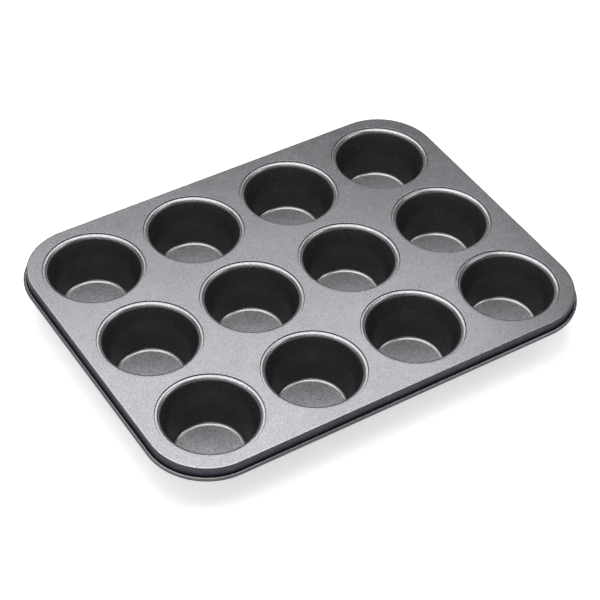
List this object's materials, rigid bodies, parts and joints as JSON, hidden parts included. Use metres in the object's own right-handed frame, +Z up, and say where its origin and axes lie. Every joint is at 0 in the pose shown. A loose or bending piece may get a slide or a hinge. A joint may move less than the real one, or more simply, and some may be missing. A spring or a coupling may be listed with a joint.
{
  "type": "muffin tin",
  "caption": "Rectangular baking tin with rounded corners, a wired rolled rim and round tapered cups seated in a flat deck.",
  "frame": {"origin": "middle of the plane that the cups stand on, below the centre of the deck", "axes": "+X along the long side, +Y along the short side, +Z up out of the cups"},
  "size_m": [0.35, 0.265, 0.0381],
  "materials": {
    "deck_coating": "satin",
    "cup_coating": "satin",
    "wire_steel": "satin"
  },
  "bodies": {
    "root": {"deck": "deck_coating", "rim_wire": "wire_steel", "cup_row1_column1": "cup_coating", "cup_row1_column2": "cup_coating", "cup_row1_column3": "cup_coating", "cup_row1_column4": "cup_coating", "cup_row2_column1": "cup_coating", "cup_row2_column2": "cup_coating", "cup_row2_column3": "cup_coating", "cup_row2_column4": "cup_coating", "cup_row3_column1": "cup_coating", "cup_row3_column2": "cup_coating", "cup_row3_column3": "cup_coating", "cup_row3_column4": "cup_coating"}
  },
  "joints": []
}
